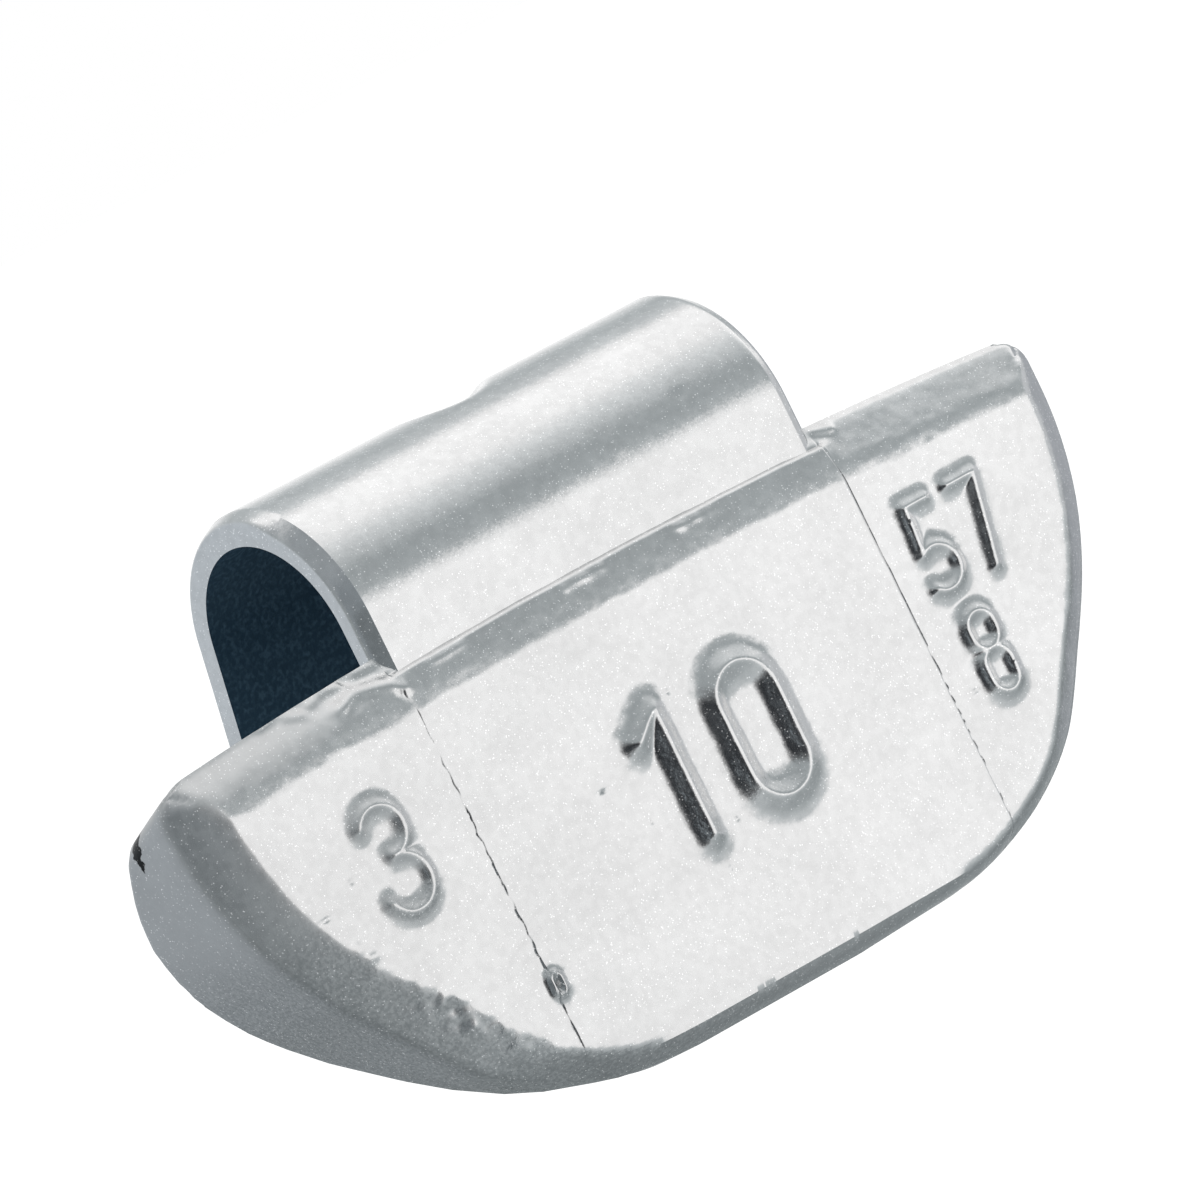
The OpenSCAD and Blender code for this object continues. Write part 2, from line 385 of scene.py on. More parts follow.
# Glossy runs of zinc along the ridge: a chain of points, half-width and height
RUNS = [
    ([(-10.0, 0.95), (-9.3, 1.2), (-8.6, 1.05), (-7.95, 0.7)], 0.2, 0.085),
    ([(-10.6, 1.45), (-10.1, 1.55), (-9.5, 1.5)], 0.15, 0.07),
    ([(-11.4, 1.4), (-11.0, 1.3)], 0.15, 0.06),
    ([(-12.3, 1.5), (-11.8, 1.55)], 0.13, 0.05),
    ([(-8.9, 1.6), (-8.1, 1.62)], 0.16, 0.1),
    ([(-6.8, 0.92), (-5.6, 0.95)], 0.14, 0.03),
    ([(-1.8, 0.98), (-0.4, 1.0)], 0.14, 0.03),
    ([(2.3, 0.98), (3.6, 0.97)], 0.14, 0.03),
    ([(8.1, 1.55), (8.6, 1.4)], 0.16, 0.09),
]
# Burr at the lower end of the left seam: a raised oval
BURR = ((0.13, 0.12), oblong(-7.86, -8.16, -8.46, 0.16))


def soft_max(a, b, width):
    """The greater of two values, rounded over a width where they cross."""
    mix = np.clip(0.5 + 0.5 * (a - b) / width, 0, 1)
    return b + (a - b) * mix + width * mix * (1 - mix)


def mark_height(x, z):
    """Height of the raised numbers: ridges with slightly hollow flanks and narrow crests."""
    height = np.zeros(x.shape)
    for (half, rise), chain in MARKS + [BURR]:
        points = np.array(chain)
        near = (x > points[:, 0].min() - 1) & (x < points[:, 0].max() + 1)
        near &= (z > points[:, 1].min() - 1) & (z < points[:, 1].max() + 1)
        distance = stroke_distance(x[near], z[near], chain)
        up = 1 - (np.sqrt(distance * distance + CREST_R * CREST_R) - CREST_R) / half
        flank = rise * np.where(up > 0, np.abs(up) ** HOLLOW_FLANK, up)
        height[near] = np.maximum(height[near], soft_max(flank, 0 * flank, FOOT_FILLET))
    return height


def fault_height(x, z, faults):
    """Height of small round faults."""
    height = np.zeros(x.shape)
    for (at_x, at_z), (half_x, half_z), rise in faults:
        away = ((x - at_x) / half_x) ** 2 + ((z - at_z) / half_z) ** 2
        height += rise * np.exp(-away)
    return height


def ripple(x, z, size, seed):
    """Smooth unevenness between -1 and 1."""
    return np.array([noise.noise(Vector((a / size, b / size, seed))) for a, b in zip(x, z)]) * 1.6


# The face's upper edge is flatter than the ridge
FACE_TOP_R = 260
FACE_TOP_Z = 0.05
# The seams, where the raised middle of the face ends
LEFT_SEAM = 8.0
RIGHT_SEAM = 7.96
SEAM_HALF = 0.022
# The line where the clip enters the zinc: share of the way up the band, and depth
CONTACT_RISE = 0.675
CONTACT_DEPTH = 0.1
# Profiles of the top band, as shares of the way up and of the ridge's depth: left of the clip, under it
# and right of it
BAND_LEFT = [(-1, 0), (0, 0), (0.35, 0.205), (0.5, 0.32), (0.6, 0.43), (0.7, 0.56), (0.85, 0.78), (1, 1)]
BAND_MIDDLE = [(-1, 0), (0, 0), (0.55, 0.33), (0.66, 0.41), (0.7, 0.6), (1, 1)]
BAND_RIGHT = [(-1, 0), (-0.05, 0), (0.1, 0.075), (0.2, 0.14), (0.3, 0.22), (0.8, 0.665), (0.95, 0.83), (1, 1)]


def soft_profile(at, points, width):
    """A profile between points, with its corners rounded over a width."""
    places, values = np.array(points).T
    return sum(np.interp(at + shift, places, values) for shift in np.linspace(-width, width, 9)) / 9


def seam_distance(x, z):
    """Distance to the nearer seam, less than zero outside the panel. The left seam wanders."""
    wander = 0.05 * ripple(z, 0 * z, 0.9, 3) + 0.035 * ripple(z, 0 * z, 0.3, 4) * (x < 0)
    return np.where(x < 0, x + LEFT_SEAM + wander, RIGHT_SEAM + 0.3 * wander - x)


def front_depth(x, z):
    """Depth of the front: face, bevels, top band, panel, seams and numbers."""
    depths, insets = [np.array(column) for column in zip(*FRONT_SHARES)]
    half_len = BODY_HALF - DRAFT * (1 - RIDGE_D / BACK_D)
    edge = half_outline(half_len, 24)
    inset = np.full(x.shape, 1e9)
    for (ax, az), (bx, bz) in zip(edge[:-1], edge[1:]):
        length = math.hypot(bx - ax, bz - az)
        normal_x, normal_z = abs(az - bz) / length, -abs(bx - ax) / length
        drawn_in = normal_x * ax * BEVEL_W / half_len + normal_z * az * BEVEL_H / BODY_DROP
        inside = normal_x * (ax - np.abs(x)) + normal_z * (az - z)
        inset = np.minimum(inset, inside / drawn_in)
    inset = np.minimum(inset, (z + BODY_DROP) / BEVEL_H)
    ragged = np.clip((-5 - z) / 2, 0, 1) * np.clip((-7.5 - x) / 1.5, 0, 1)
    uneven = 0.6 * ripple(x, z, 0.9, 1) + 0.4 * ripple(x, z, 0.35, 2)
    border = insets[-1]
    inset = border + (inset - border) * (1 - ragged * (0.2 + 0.2 * uneven) - (1 - ragged) * 0.02 * uneven)
    sharp = np.interp(inset, insets[::-1], depths[::-1])
    soft = soft_profile(inset, list(zip(insets, depths))[::-1], 0.07)
    side = (soft + (sharp - soft) * np.clip((-6 - x) / 3, 0, 1)) * RIDGE_D
    face_top = FACE_TOP_Z - rim_dip(x, FACE_TOP_R)
    face_top = face_top + 0.03 * ripple(x, 0 * x, 1.4, 5) + 0.012 * ripple(x, z, 0.25, 6)
    ridge_top = RIDGE_H - rim_dip(x)
    rise = (z - face_top) / (ridge_top - face_top)
    left = np.clip((-7.9 - x) / 0.5, 0, 1)
    right = np.clip((x - 7.95) / 0.5, 0, 1)
    band = left * soft_profile(rise, BAND_LEFT, 0.09) + right * soft_profile(rise, BAND_RIGHT, 0.05)
    band += (1 - left - right) * soft_profile(rise, BAND_MIDDLE, 0.045)
    depth = soft_max(side, band * RIDGE_D, 0.22)
    true_x = stretch(x, z)
    fade = 1 - np.clip((depth - 0.5 * RIDGE_D) / (0.5 * RIDGE_D), 0, 1)
    off_seam = seam_distance(true_x, z)
    depth -= PANEL_STEP * fade * np.clip(0.5 + off_seam / 0.2, 0, 1)
    worn = (0.012 + 0.02 * np.clip((-z - 1) / 7, 0, 1)) * np.clip(0.7 + ripple(x, z, 0.5, 7), 0.15, 1)
    worn *= np.maximum(fade, np.clip((-z - 9.5) / 0.5, 0, 1))
    depth += np.where(x < 0, worn, 0.03 * fade) * np.exp(-(off_seam / SEAM_HALF) ** 2)
    at_clip = np.clip((STRIP_HALF + 0.05 - np.abs(true_x)) / 0.05, 0, 1)
    depth += CONTACT_DEPTH * (np.exp(-((rise - CONTACT_RISE) / 0.025) ** 2) * at_clip)
    depth -= 0.012 * ripple(x, z, 1.1, 8) + 0.004 * ripple(x, z, 0.3, 9)
    for chain, half, rise_by in RUNS:
        wobble = 1 + 0.35 * ripple(x, z, 0.45, 12)
        depth -= rise_by * wobble * np.exp(-(stroke_distance(true_x, z, chain) / half) ** 2)
    depth -= fault_height(true_x, z, FAULTS)
    return depth - mark_height(true_x, z)


def spread(start, bands):
    """Places in bands, each with its own spacing."""
    places = [start]
    for end, spacing in bands:
        count = max(1, round((end - places[-1]) / spacing))
        places += list(np.linspace(places[-1], end, count + 1)[1:])
    return np.array(places)


def read_points(piece):
    """The places of a piece's points."""
    places = np.zeros(len(piece.data.vertices) * 3)
    piece.data.vertices.foreach_get("co", places)
    return places.reshape(-1, 3)


def add_grid(name, columns, rows):
    """A flat grid, with the column's and the row's place for each of its points."""
    bpy.ops.object.select_all(action="DESELECT")
    bpy.ops.mesh.primitive_grid_add(x_subdivisions=len(columns) - 1, y_subdivisions=len(rows) - 1, size=2)
    piece = bpy.context.object
    piece.name = name
    places = read_points(piece)
    column = np.rint((places[:, 0] + 1) / 2 * (len(columns) - 1)).astype(int)
    row = np.rint((places[:, 1] + 1) / 2 * (len(rows) - 1)).astype(int)
    return piece, columns[column], rows[row]


def make_body():
    """The zinc body: a front sheet cut to the outline, then drawn back ring by ring."""
    base_inset = FRONT_SHARES[-1][1]
    base_len = BODY_HALF - DRAFT * (1 - RIDGE_D / BACK_D)
    base_low = -BODY_DROP + base_inset * BEVEL_H
    columns = spread(-COLUMN_BANDS[-1][0], COLUMN_BANDS)
    rows = spread(base_low, ROW_BANDS)
    piece, x, z = add_grid("zinc_body", columns, rows)
    z = z - rim_dip(x) * np.clip((z + 1) / (RIDGE_H + 1), 0, 1)
    flat = np.stack([x, np.zeros(x.shape), z], -1) * MM
    piece.data.vertices.foreach_set("co", flat.ravel())
    bpy.ops.object.mode_set(mode="EDIT")
    right = half_outline(base_len, 12)
    right = right * np.array([1 - base_inset * BEVEL_W / base_len, 1 - base_inset * BEVEL_H / BODY_DROP])
    right[0] = (right[1][0], RIDGE_H)
    for side in (-1, 1):
        for (ax, az), (bx, bz) in zip(right[:-1], right[1:]):
            normal = Vector((side * (az - bz), 0, bx - ax)).normalized()
            bpy.ops.mesh.select_all(action="SELECT")
            bpy.ops.mesh.bisect(plane_co=(side * ax * MM, 0, az * MM), plane_no=normal,
                                clear_outer=True, threshold=1e-7)
    draw_back(piece)
    bpy.ops.mesh.select_all(action="SELECT")
    bpy.ops.mesh.remove_doubles(threshold=0.002 * MM)
    bpy.ops.mesh.normals_make_consistent(inside=False)
    bpy.ops.object.mode_set(mode="OBJECT")
    cut_hollow(piece)
    bpy.ops.object.shade_smooth_by_angle(angle=math.radians(40))
    return piece


def cut_hollow(piece):
    """Cuts the hollow in the back, an arc about an upright axis between the two bearing faces."""
    radius = (HOLLOW_W * HOLLOW_W / 4 + HOLLOW_D * HOLLOW_D) / (2 * HOLLOW_D)
    middle_y = FACE_Y + BACK_D - HOLLOW_D + radius
    bpy.ops.object.select_all(action="DESELECT")
    bpy.ops.mesh.primitive_cylinder_add(vertices=256, radius=radius * MM, depth=3 * BODY_DROP * MM,
                                        location=(0, middle_y * MM, (FACE_Z - BODY_DROP / 2) * MM))
    cut_with(piece, bpy.context.object)


def cut_with(piece, cutter):
    """Takes a cutter's shape out of a piece."""
    cut = piece.modifiers.new("cut", "BOOLEAN")
    cut.operation = "DIFFERENCE"
    cut.solver = "EXACT"
    cut.object = cutter
    bpy.ops.object.select_all(action="DESELECT")
    bpy.context.view_layer.objects.active = piece
    piece.select_set(True)
    bpy.ops.object.modifier_apply(modifier=cut.name)
    bpy.data.objects.remove(cutter)


def back_stations():
    """Depth, inset, top and bottom of each ring behind the front sheet."""
    stations = np.array(BACK_SHARES)
    marks = np.linspace(0, len(stations) - 1, (len(stations) - 1) * STEPS_BETWEEN + 1)
    rings = np.stack([np.interp(marks, np.arange(len(stations)), stations[:, i]) for i in range(4)], -1)
    depth = RIDGE_D + rings[:, 0] * (BACK_D - RIDGE_D)
    top = RIDGE_H - rings[:, 2] * (RIDGE_H + SEAT_TOP)
    bottom = rings[:, 3] * (BODY_DROP - SEAT_LOW) - BODY_DROP
    return list(zip(depth, rings[:, 1], top, bottom))


def draw_back(piece):
    """Extrudes the sheet's edge to the back, shapes the front and closes the back."""
    shape = bmesh.from_edit_mesh(piece.data)
    start_x = shape.verts.layers.float.new("start_x")
    start_z = shape.verts.layers.float.new("start_z")
    sheet = list(shape.verts)
    x = np.array([vert.co.x for vert in sheet]) / MM
    z = np.array([vert.co.z for vert in sheet]) / MM
    depth = front_depth(x, z)
    base_half = half_width(0, FRONT_SHARES[-1][1], BODY_HALF - DRAFT * (1 - RIDGE_D / BACK_D))
    new_x, new_z = round_corners(x, z, base_half, RIDGE_H - rim_dip(base_half))
    new_z = new_z - sag(new_x, new_z)
    for vert, a, c, at_x, at_y, at_z in zip(sheet, x, z, stretch(new_x, new_z), depth, new_z):
        vert[start_x] = a
        vert[start_z] = c
        vert.co = (at_x * MM, (FACE_Y + at_y) * MM, (FACE_Z + at_z) * MM)
    bmesh.update_edit_mesh(piece.data)
    bpy.ops.mesh.select_mode(type="EDGE")
    bpy.ops.mesh.select_all(action="DESELECT")
    bpy.ops.mesh.select_non_manifold(use_wire=False, use_multi_face=False, use_non_contiguous=False,
                                     use_verts=False)
    for depth, inset, top, bottom in back_stations()[1:]:
        bpy.ops.mesh.extrude_region_move()
        shape = bmesh.from_edit_mesh(piece.data)
        start_x = shape.verts.layers.float["start_x"]
        start_z = shape.verts.layers.float["start_z"]
        ring = [vert for vert in shape.verts if vert.select]
        start = np.array([(vert[start_x], vert[start_z]) for vert in ring])
        new_x, new_z = ring_place(start, depth, inset, top, bottom)
        for vert, a, c in zip(ring, new_x, new_z):
            vert.co = (a * MM, (FACE_Y + depth) * MM, (FACE_Z + c) * MM)
        bmesh.update_edit_mesh(piece.data)
    bpy.ops.mesh.edge_face_add()


# The strip is cut and shaped flat, then bent. Its faults: place along X and angle round the arch
# (over 180 degrees, down the foot), radius, and height
CLIP_FAULTS = [
    ((2.15, 168.8), 0.17, 0.035),
    ((2.15, 168.8), 0.08, -0.05),
    ((3.84, 151.8), 0.08, 0.04),
    ((4.8, 164.8), 0.12, -0.05),
    ((-2.41, 143.5), 0.14, -0.03),
    ((-3.24, 164.4), 0.06, 0.03),
    ((-0.23, 189.0), 0.06, -0.03),
    ((-6.09, 179.9), 0.06, -0.05),
    ((-7.21, 148.5), 0.12, 0.05),
    ((-6.4, 192.0), 0.07, -0.03),
]
# Rows of points along the strip's edges: how far in each one lies
EDGE_STEPS = (0, 0.01, 0.03, 0.07, 0.13, 0.21, 0.31, EDGE_ROLL_W, 0.55, 0.68, 1)


def strip_stations():
    """Length of each stretch of the strip, from the foot's end to the lip's end."""
    arch = math.radians(180 - LEAN_DEG) * ARCH_R
    grip = math.radians(GRIP_DEG) * GRIP_R
    lip = math.radians(LIP_DEG) * (LIP_R + STRIP_T)
    return [FOOT_LEN, arch, LEG_LEN, grip, lip, LIP_LEN]


def bend(s):
    """Place on the strip's inner side, and the angle that its outer side faces, at a length s."""
    foot, arch, leg, grip, lip, end = strip_stations()
    at = np.array([-ARCH_R, -FOOT_LEN])
    angle = math.pi
    stretches = [(foot, 0), (arch, ARCH_R), (leg, 0), (grip, GRIP_R), (lip, -LIP_R - STRIP_T), (end, 0)]
    for length, radius in stretches:
        step = min(s, length)
        if radius == 0:
            at = at + step * np.array([math.sin(angle), -math.cos(angle)])
        else:
            middle = at - radius * np.array([math.cos(angle), math.sin(angle)])
            angle -= step / radius
            at = middle + radius * np.array([math.cos(angle), math.sin(angle)])
        s -= step
        if s <= 0:
            break
    return at, angle


def make_clip():
    """The spring clip: a flat blank with its slot, rolled edges and corners, bent to shape."""
    lengths = strip_stations()
    ends = np.cumsum(lengths)
    edge_rows = [STRIP_HALF - inward for inward in EDGE_STEPS]
    middle_rows = spread(-edge_rows[-1], [(-2.4, 0.24), (3.2, 0.12), (edge_rows[-1], 0.24)])
    columns = np.concatenate([-np.array(edge_rows), middle_rows[1:-1], np.array(edge_rows[::-1])])
    rows = spread(0, [(ends[0] - 2.2, 0.8), (ends[0], 0.11), (ends[1], 0.11), (ends[2], 0.3), (ends[3], 0.12),
                      (ends[4], 0.12), (ends[5] - LIP_CORNER, 0.1), (ends[5], 0.07)])
    piece, x, s = add_grid("spring_clip", columns, rows)
    blank = np.stack([x, s, np.zeros(x.shape)], -1) * MM
    piece.data.vertices.foreach_set("co", blank.ravel())
    bpy.ops.object.mode_set(mode="EDIT")
    bpy.ops.mesh.select_all(action="SELECT")
    bpy.ops.mesh.extrude_region_move(TRANSFORM_OT_translate={"value": (0, 0, STRIP_T * MM)})
    bpy.ops.mesh.select_all(action="SELECT")
    bpy.ops.mesh.normals_make_consistent(inside=False)
    bpy.ops.object.mode_set(mode="OBJECT")
    cut_slot(piece)
    x, s, t = (read_points(piece) / MM).T
    along = np.clip(LIP_CORNER - (ends[5] - s), 0, LIP_CORNER)
    corner = LIP_CORNER - np.sqrt(LIP_CORNER * LIP_CORNER - along * along)
    from_edge = STRIP_HALF - np.abs(x)
    x = x * (1 - corner / STRIP_HALF)
    from_edge = np.minimum(from_edge, ends[5] - s)
    roll = np.clip(1 - from_edge / EDGE_ROUND, 0, 1)
    fall = EDGE_ROUND * (1 - np.sqrt(1 - roll * roll))
    front_left = np.clip((FOOT_LEN + math.radians(90) * ARCH_R - s) / 2, 0, 1) * (x < 0)
    fall += EDGE_ROLL * np.maximum(front_left, 0.5) * np.clip(1 - from_edge / EDGE_ROLL_W, 0, 1)
    past_straight = np.maximum(np.abs(s - slot_middle()) - (SLOT_LEN - SLOT_W) / 2, 0)
    from_slot = np.hypot(x - SLOT_X, past_straight) - SLOT_W / 2
    roll = np.clip(1 - from_slot / SLOT_ROLL, 0, 1)
    fall = np.maximum(fall, SLOT_ROLL * (1 - np.sqrt(1 - roll * roll)))
    outer = t > STRIP_T / 2
    t = np.where(outer, t - fall, t)
    for (at_x, degrees), radius, rise in CLIP_FAULTS:
        at_s = FOOT_LEN + math.radians(180 - degrees) * (ARCH_R + STRIP_T)
        t += outer * rise * np.exp(-((x - at_x) ** 2 + (s - at_s) ** 2) / (radius * radius))
    t += outer * 0.006 * ripple(x, s, 2.5, 11)
    bent = np.empty((len(x), 3))
    cache = {}
    for i in range(len(x)):
        key = round(float(s[i]), 5)
        if key not in cache:
            cache[key] = bend(key)
        at, angle = cache[key]
        bent[i] = (CLIP_X + x[i], at[0] + t[i] * math.cos(angle), CLIP_Z + at[1] + t[i] * math.sin(angle))
    piece.data.vertices.foreach_set("co", (bent * MM).ravel())
    bpy.ops.object.mode_set(mode="EDIT")
    bpy.ops.mesh.select_all(action="SELECT")
    bpy.ops.mesh.remove_doubles(threshold=0.001 * MM)
    bpy.ops.mesh.normals_make_consistent(inside=False)
    bpy.ops.object.mode_set(mode="OBJECT")
    bpy.ops.object.shade_smooth_by_angle(angle=math.radians(40))
    return piece


def give_arch_shade(piece):
    """Gives the clip's inner faces the second finish, a dark painted shade."""
    for face in piece.data.polygons:
        normal = face.normal
        across, up = face.center.y, face.center.z - CLIP_Z * MM
        arch = math.hypot(across, up)
        if up > 0 and arch < (ARCH_R + 0.02) * MM and normal.y * across + normal.z * up < 0:
            face.material_index = 1
        elif up <= 0 and -ARCH_R * MM - 0.02 * MM < across < 0 and normal.y > 0.9:
            face.material_index = 1
        elif up <= 0.5 * ARCH_R * MM and across > 0 and normal.y < -0.8:
            face.material_index = 1


def slot_middle():
    """Where the slot's middle lies along the strip."""
    return FOOT_LEN + math.radians(180 - SLOT_DEG) * ARCH_R


def cut_slot(piece):
    """Cuts the removal slot out of the flat blank."""
    middle = slot_middle()
    straight = (SLOT_LEN - SLOT_W) / 2
    bpy.ops.object.select_all(action="DESELECT")
    bpy.ops.mesh.primitive_cylinder_add(vertices=48, radius=SLOT_W / 2 * MM, depth=3 * STRIP_T * MM,
                                        location=(SLOT_X * MM, middle * MM, STRIP_T / 2 * MM))
    cutter = bpy.context.object
    bpy.ops.object.transform_apply(location=True)
    for vert in cutter.data.vertices:
        side = 1 if vert.co.y > middle * MM else -1
        vert.co.y += side * straight * MM
    cut_with(piece, cutter)


# Finishes. Patterns are set out in Object coordinates, with sizes in millimetres

def join(tree, kind, links, **settings):
    """Adds a node, sets its properties and inputs, and links what comes from other nodes."""
    node = tree.nodes.new(kind)
    for name, value in settings.items():
        setattr(node, name, value)
    for name, value in links.items():
        if isinstance(value, bpy.types.NodeSocket):
            tree.links.new(value, node.inputs[name])
        else:
            node.inputs[name].default_value = value
    return node


def grain(tree, place, size, detail=3):
    """Soft noise of one grain size."""
    links = {"Vector": place, "Scale": 1 / (size * MM), "Detail": detail}
    return join(tree, "ShaderNodeTexNoise", links).outputs["Fac"]


def ease(tree, value, start, end, low=0.0, high=1.0):
    """A smooth step from one value to another."""
    links = {"Value": value, "From Min": start, "From Max": end, "To Min": low, "To Max": high}
    return join(tree, "ShaderNodeMapRange", links, interpolation_type="SMOOTHSTEP").outputs["Result"]


def work_out(tree, operation, *values):
    """Arithmetic on values."""
    return join(tree, "ShaderNodeMath", dict(enumerate(values)), operation=operation).outputs[0]


def blend_colour(tree, share, first, second):
    """A mix of two colours."""
    node = tree.nodes.new("ShaderNodeMix")
    node.data_type = "RGBA"
    for name, value in (("Factor", share), ("A", first), ("B", second)):
        socket = next(item for item in node.inputs if item.name == name and item.enabled)
        if isinstance(value, bpy.types.NodeSocket):
            tree.links.new(value, socket)
        else:
            socket.default_value = value
    return next(item for item in node.outputs if item.enabled)


def start_material(name):
    """A new material, with its node tree, its shader and the piece's own coordinates."""
    material = bpy.data.materials.new(name)
    material.use_nodes = True
    tree = material.node_tree
    place = join(tree, "ShaderNodeTexCoord", {}).outputs["Object"]
    return material, tree, tree.nodes["Principled BSDF"], place


# The paint's flakes: their size, and how far they lean
FLAKE = 0.042
FLAKE_LEAN = 0.03


def silver_paint(name, roughness=0.11):
    """Silver paint with fine flakes over uneven metal. A few flakes carry a painted glint: they are lighter
    in colour and glow.
    """
    material, tree, shader, place = start_material(name)
    mottle = grain(tree, place, 0.3)
    cloud = grain(tree, place, 2.5, 2)
    fine_tone = ease(tree, mottle, 0.35, 0.65, -0.03, 0.03)
    broad_tone = ease(tree, cloud, 0.35, 0.65, -0.02, 0.02)
    tone = work_out(tree, "ADD", fine_tone, broad_tone)
    flakes = join(tree, "ShaderNodeTexVoronoi", {"Vector": place, "Scale": 1 / (FLAKE * MM)})
    chosen = join(tree, "ShaderNodeTexWhiteNoise", {"Vector": flakes.outputs["Position"]}).outputs["Value"]
    picked = ease(tree, chosen, 0.9, 1)
    inner = ease(tree, flakes.outputs["Distance"], 0.55, 0.3)
    # Painted glint: a few chosen flakes get a lighter colour and a faint glow
    painted_glint = work_out(tree, "MULTIPLY", picked, inner)
    light = work_out(tree, "ADD", work_out(tree, "ADD", tone, 0.81), work_out(tree, "MULTIPLY", painted_glint, 0.17))
    channels = {"Red": light, "Green": light, "Blue": light}
    colour = join(tree, "ShaderNodeCombineColor", channels).outputs["Color"]
    skin = grain(tree, place, 0.15)
    bump = join(tree, "ShaderNodeBump", {"Height": skin, "Strength": 0.12, "Distance": 0.02 * MM})
    lean = join(tree, "ShaderNodeVectorMath", {0: flakes.outputs["Color"], 1: (0.5, 0.5, 0.5)},
                operation="SUBTRACT")
    lean = join(tree, "ShaderNodeVectorMath", {0: lean.outputs[0], "Scale": FLAKE_LEAN}, operation="SCALE")
    normal = join(tree, "ShaderNodeVectorMath", {0: bump.outputs["Normal"], 1: lean.outputs[0]},
                  operation="ADD")
    normal = join(tree, "ShaderNodeVectorMath", {0: normal.outputs[0]}, operation="NORMALIZE").outputs[0]
    tree.links.new(colour, shader.inputs["Base Color"])
    tree.links.new(normal, shader.inputs["Normal"])
    gloss = ease(tree, mottle, 0.3, 0.7, roughness - 0.02, roughness + 0.04)
    tree.links.new(gloss, shader.inputs["Roughness"])
    # The painted glint glows through emission on the chosen flakes
    tree.links.new(work_out(tree, "MULTIPLY", painted_glint, 0.3), shader.inputs["Emission Strength"])
    shader.inputs["Emission Color"].default_value = (1, 1, 1, 1)
    shader.inputs["Metallic"].default_value = 0.94
    return material


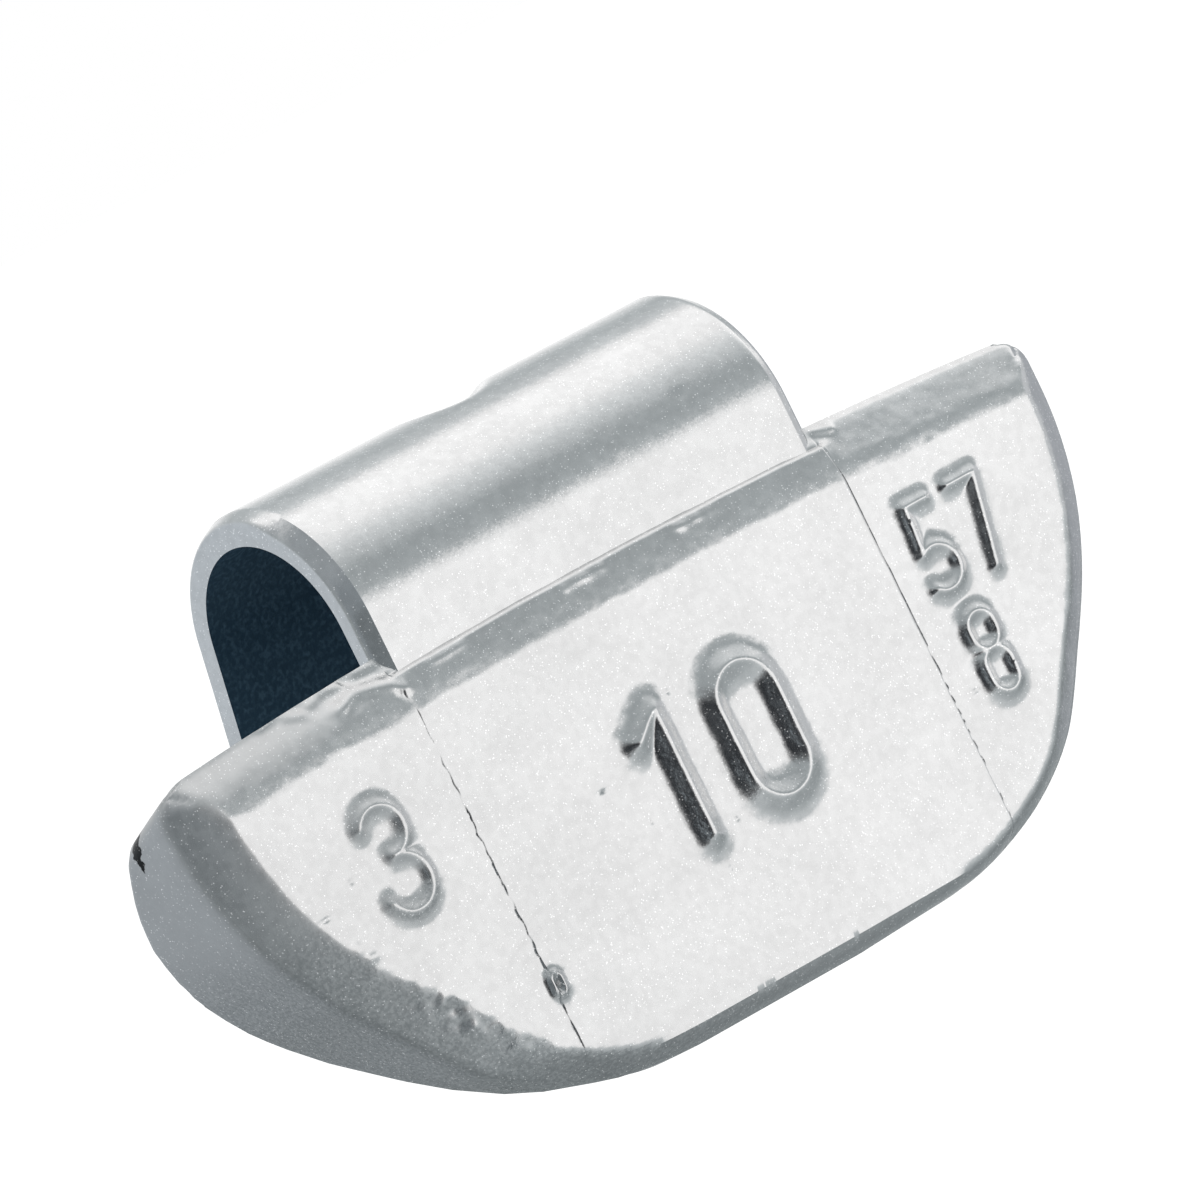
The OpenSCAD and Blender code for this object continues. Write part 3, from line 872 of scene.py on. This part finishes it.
def cast_paint(name):
    """The same paint on the casting: dull at its left bevel, rough and darker low on its left with painted
    shade in its pits, near-black on a patch high on its left end, and with painted shade on its left end, on
    its upward faces and towards its left.
    """
    material = silver_paint(name, 0.14)
    tree = material.node_tree
    shader = tree.nodes["Principled BSDF"]
    place = join(tree, "ShaderNodeTexCoord", {}).outputs["Object"]
    split = join(tree, "ShaderNodeSeparateXYZ", {0: place})
    surface = join(tree, "ShaderNodeNewGeometry", {})
    facing = join(tree, "ShaderNodeSeparateXYZ", {0: surface.outputs["True Normal"]})
    turned = join(tree, "ShaderNodeSeparateXYZ", {0: surface.outputs["Normal"]})
    dull = work_out(tree, "MULTIPLY", ease(tree, turned.outputs["Y"], -0.99, -0.94),
                    ease(tree, split.outputs["X"], -8 * MM, -12.5 * MM))
    gloss = shader.inputs["Roughness"].links[0].from_socket
    gloss = work_out(tree, "ADD", gloss, work_out(tree, "MULTIPLY", dull, 0.3))
    tree.links.new(gloss, shader.inputs["Roughness"])
    aside = ease(tree, facing.outputs["Y"], -0.97, -0.85)
    lower = ease(tree, split.outputs["Z"], -5.5 * MM, -8 * MM)
    left = ease(tree, split.outputs["X"], 2 * MM, -7 * MM, 0.35, 1)
    rough = work_out(tree, "MULTIPLY", work_out(tree, "MULTIPLY", aside, lower), left)
    pocks = grain(tree, place, 0.11, 5)
    # Low on the left, side faces are darker, and darkest in the bump's pits as painted shade
    darkened_with_pit_shade = work_out(tree, "MULTIPLY", rough, ease(tree, pocks, 0.4, 0.62, 0.4, 0.1))
    # Painted shade: the casting's colour darkens towards its left end and lightens towards its right
    painted_shade_gradient = ease(tree, split.outputs["X"], -16 * MM, 14 * MM, 0.95, 1.03)
    # Painted shade: faces turned towards the left end are darker
    left_end_painted_shade = ease(tree, facing.outputs["X"], -0.5, -0.85, 1, 0.8)
    base = shader.inputs["Base Color"].links[0].from_socket
    # Painted shade: faces turned upwards are darker
    top_painted_shade = ease(tree, turned.outputs["Z"], 0.55, 0.8, 1, 0.82)
    # The painted shades together scale the paint's colour
    painted_shade_tint = work_out(tree, "MULTIPLY", work_out(tree, "MULTIPLY", painted_shade_gradient, left_end_painted_shade), top_painted_shade)
    base = join(tree, "ShaderNodeVectorMath", {0: base, "Scale": painted_shade_tint}, operation="SCALE").outputs[0]
    toned = blend_colour(tree, darkened_with_pit_shade, base, (0.25, 0.27, 0.28, 1))
    # A near-black patch high on the left end
    away_y = work_out(tree, "DIVIDE", work_out(tree, "ADD", split.outputs["Y"], 1.6 * MM), 0.3 * MM)
    away_z = work_out(tree, "DIVIDE", work_out(tree, "ADD", split.outputs["Z"], 2.35 * MM), 0.8 * MM)
    square_y = work_out(tree, "MULTIPLY", away_y, away_y)
    square_z = work_out(tree, "MULTIPLY", away_z, away_z)
    away = work_out(tree, "ADD", square_y, square_z)
    away = work_out(tree, "ADD", away, ease(tree, grain(tree, place, 0.3), 0.3, 0.7, -0.6, 0.6))
    at_left = ease(tree, split.outputs["X"], -14.8 * MM, -15.2 * MM)
    black_patch = work_out(tree, "MULTIPLY", ease(tree, away, 1.1, 0.8), at_left)
    coloured = blend_colour(tree, black_patch, toned, (0.012, 0.013, 0.014, 1))
    tree.links.new(coloured, shader.inputs["Base Color"])
    strength = work_out(tree, "MULTIPLY", rough, 0.5)
    coarse = join(tree, "ShaderNodeBump", {"Height": pocks, "Strength": strength, "Distance": 0.04 * MM})
    fine = next(node for node in tree.nodes if node.type == "BUMP" and node != coarse)
    tree.links.new(coarse.outputs["Normal"], fine.inputs["Normal"])
    return material


def arch_shade_paint(name):
    """Dark blue-grey painted shade inside the clip, with fine speckles."""
    material, tree, shader, place = start_material(name)
    speckle = grain(tree, place, 0.14, 4)
    colour = blend_colour(tree, ease(tree, speckle, 0.4, 0.75), (0.045, 0.1, 0.155, 1), (0.11, 0.2, 0.28, 1))
    tree.links.new(colour, shader.inputs["Base Color"])
    bump = join(tree, "ShaderNodeBump", {"Height": speckle, "Strength": 0.3, "Distance": 0.02 * MM})
    tree.links.new(bump.outputs["Normal"], shader.inputs["Normal"])
    shader.inputs["Metallic"].default_value = 0.1
    shader.inputs["Roughness"].default_value = 0.6
    shader.inputs["Specular IOR Level"].default_value = 0.15
    return material


def add_floor():
    """Pale floor under the part."""
    bpy.ops.object.select_all(action="DESELECT")
    bpy.ops.mesh.primitive_plane_add(size=4, location=(0, 0, (body_low[2] - LOW_SAG - 0.1) * MM))
    floor = bpy.context.object
    floor.name = "floor"
    material = bpy.data.materials.new("floor")
    material.use_nodes = True
    shader = material.node_tree.nodes["Principled BSDF"]
    shader.inputs["Base Color"].default_value = (0, 0, 0, 1)
    shader.inputs["Emission Color"].default_value = (1, 1, 1, 1)
    shader.inputs["Emission Strength"].default_value = 1
    floor.data.materials.append(material)
    floor.visible_glossy = False
    floor.visible_diffuse = False


add_camera()
light_studio()
add_floor()
body = make_body()
body.data.materials.append(cast_paint("body_paint"))
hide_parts("body")
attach(body, "root")
clip = make_clip()
clip.data.materials.append(silver_paint("clip_paint"))
# The clip's inner faces take a dark painted shade
clip.data.materials.append(arch_shade_paint("arch_painted_shade"))
give_arch_shade(clip)
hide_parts("clip")
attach(clip, "root")
